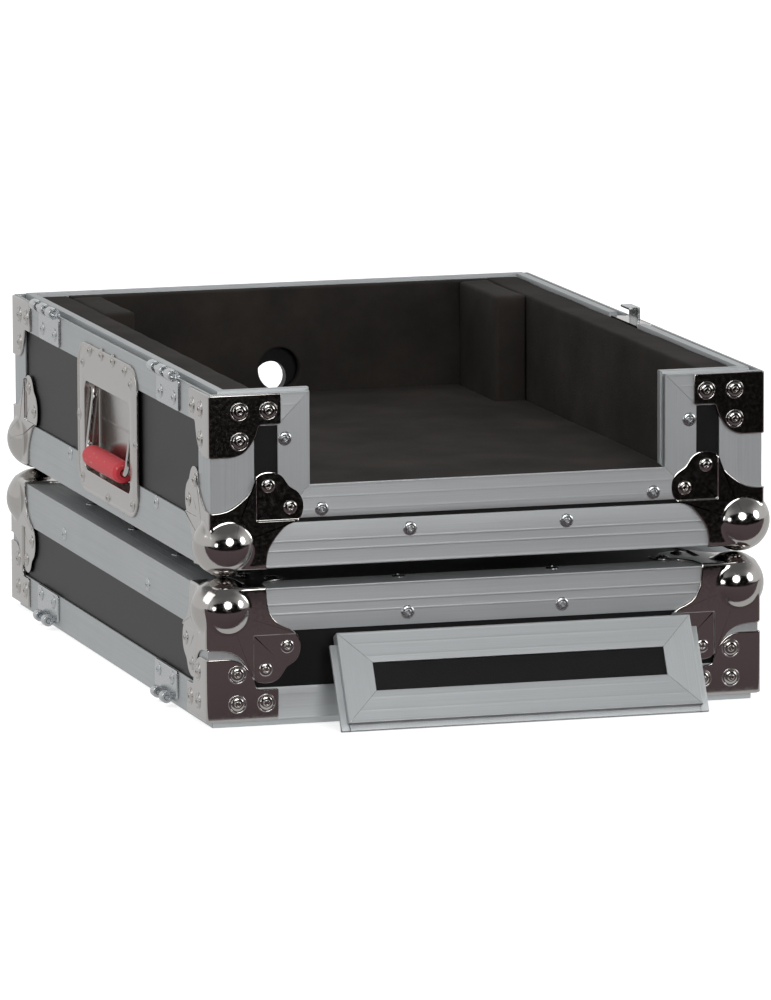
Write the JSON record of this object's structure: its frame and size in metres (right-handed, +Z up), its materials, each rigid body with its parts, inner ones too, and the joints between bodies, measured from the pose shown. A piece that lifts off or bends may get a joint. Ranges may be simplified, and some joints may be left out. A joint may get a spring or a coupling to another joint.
{
  "type": "mixer flight case",
  "caption": "Edged flight case opened out: padded tray with a front notch standing on its lid, and the notch's flap leaning in front.",
  "frame": {"origin": "on the floor under the middle of the whole bounding box, with the leaning flap and the hinge barrels counted in", "axes": "+Z up, +Y from the front notch towards the rear wall with the cable hole, +X towards the latch side"},
  "size_m": [0.3997, 0.5737, 0.2327],
  "materials": {
    "laminated_plywood": "satin black laminate on both faces",
    "satin_aluminium": "satin, drawn lengthwise",
    "chromed_steel": "polished",
    "zinc_plated_steel": "satin",
    "dark_foam": "matte",
    "red_rubber": "matte"
  },
  "bodies": {
    "lid": {"lid_top_panel": "laminated_plywood", "lid_front_wall": "laminated_plywood", "lid_rear_wall": "laminated_plywood", "lid_left_wall": "laminated_plywood", "lid_right_wall": "laminated_plywood", "lid_edging": "satin_aluminium", "lid_rim": "satin_aluminium", "lid_ball_front_left": "chromed_steel", "lid_ball_front_right": "chromed_steel", "lid_ball_rear_right": "chromed_steel", "lid_ball_rear_left": "chromed_steel", "lid_bracket_front_left": "chromed_steel", "lid_bracket_front_right": "chromed_steel", "lid_bracket_rear_right": "chromed_steel", "lid_bracket_rear_left": "chromed_steel", "lid_pad": "dark_foam", "lid_strike_dish": "chromed_steel", "lid_hinge_leaf_front": "zinc_plated_steel", "lid_hinge_leaf_rear": "zinc_plated_steel"},
    "tray": {"tray_floor_panel": "laminated_plywood", "tray_front_wall": "laminated_plywood", "tray_rear_wall": "laminated_plywood", "tray_left_wall": "laminated_plywood", "tray_right_wall": "laminated_plywood", "tray_bottom_edging": "satin_aluminium", "tray_corner_edging_front_left": "satin_aluminium", "tray_corner_edging_front_right": "satin_aluminium", "tray_corner_edging_rear_right": "satin_aluminium", "tray_corner_edging_rear_left": "satin_aluminium", "tray_rim_left": "satin_aluminium", "tray_rim_rear": "satin_aluminium", "tray_rim_right_front": "satin_aluminium", "tray_rim_right_rear": "satin_aluminium", "cutout_post_left": "satin_aluminium", "cutout_post_right": "satin_aluminium", "cutout_sill": "satin_aluminium", "tray_ball_front_left": "chromed_steel", "tray_ball_front_right": "chromed_steel", "tray_ball_rear_right": "chromed_steel", "tray_ball_rear_left": "chromed_steel", "tray_bracket_front_left": "chromed_steel", "tray_bracket_front_right": "chromed_steel", "tray_bracket_rear_right": "chromed_steel", "tray_bracket_rear_left": "chromed_steel", "tray_floor_foam": "dark_foam", "tray_foam_lining": "dark_foam", "rear_foam_block_left": "dark_foam", "rear_foam_block_right": "dark_foam", "handle_dish": "chromed_steel", "handle_spring": "zinc_plated_steel", "tray_hinge_leaf_front": "zinc_plated_steel", "tray_hinge_leaf_rear": "zinc_plated_steel", "latch_dish": "chromed_steel"},
    "handle": {"handle_bail": "chromed_steel", "handle_grip": "red_rubber"},
    "latch_cam": {"latch_cam": "zinc_plated_steel"},
    "latch_wing": {"latch_wing": "chromed_steel"},
    "latch_hook": {"latch_hook": "zinc_plated_steel"},
    "flap": {"flap_frame": "satin_aluminium", "flap_panel": "laminated_plywood"}
  },
  "joints": [
    {"name": "tray_lift", "type": "slide", "parent": "lid", "child": "tray", "axis": [0, 0, 1], "range_m": [0, 0.25]},
    {"name": "handle_swing", "type": "hinge", "parent": "tray", "child": "handle", "pos_m": [-0.18438, 0.01711, 0.184], "axis": [0, 1, 0], "range_deg": [0, 90], "stiffness_Nm_per_rad": 0.03, "springref_deg": -20.05},
    {"name": "latch_turn", "type": "hinge", "parent": "tray", "child": "latch_cam", "pos_m": [0.19312, 0.01711, 0.191], "axis": [1, 0, 0], "range_deg": [0, 180]},
    {"name": "wing_fold", "type": "hinge", "parent": "latch_cam", "child": "latch_wing", "pos_m": [0.19153, 0.01711, 0.191], "axis": [0, -1, 0], "range_deg": [0, 90]},
    {"name": "latch_draw", "type": "slide", "parent": "tray", "child": "latch_hook", "axis": [0, 0, 1], "range_m": [-0.008, 0]},
    {"name": "flap_tip", "type": "hinge", "parent": "lid", "child": "flap", "pos_m": [0.01613, -0.28337, 0], "axis": [1, 0, 0], "range_deg": [0, 28]}
  ],
  "couplings": [
    {"joint": "latch_draw", "follows": "latch_turn", "m_per_rad": -0.0025}
  ]
}
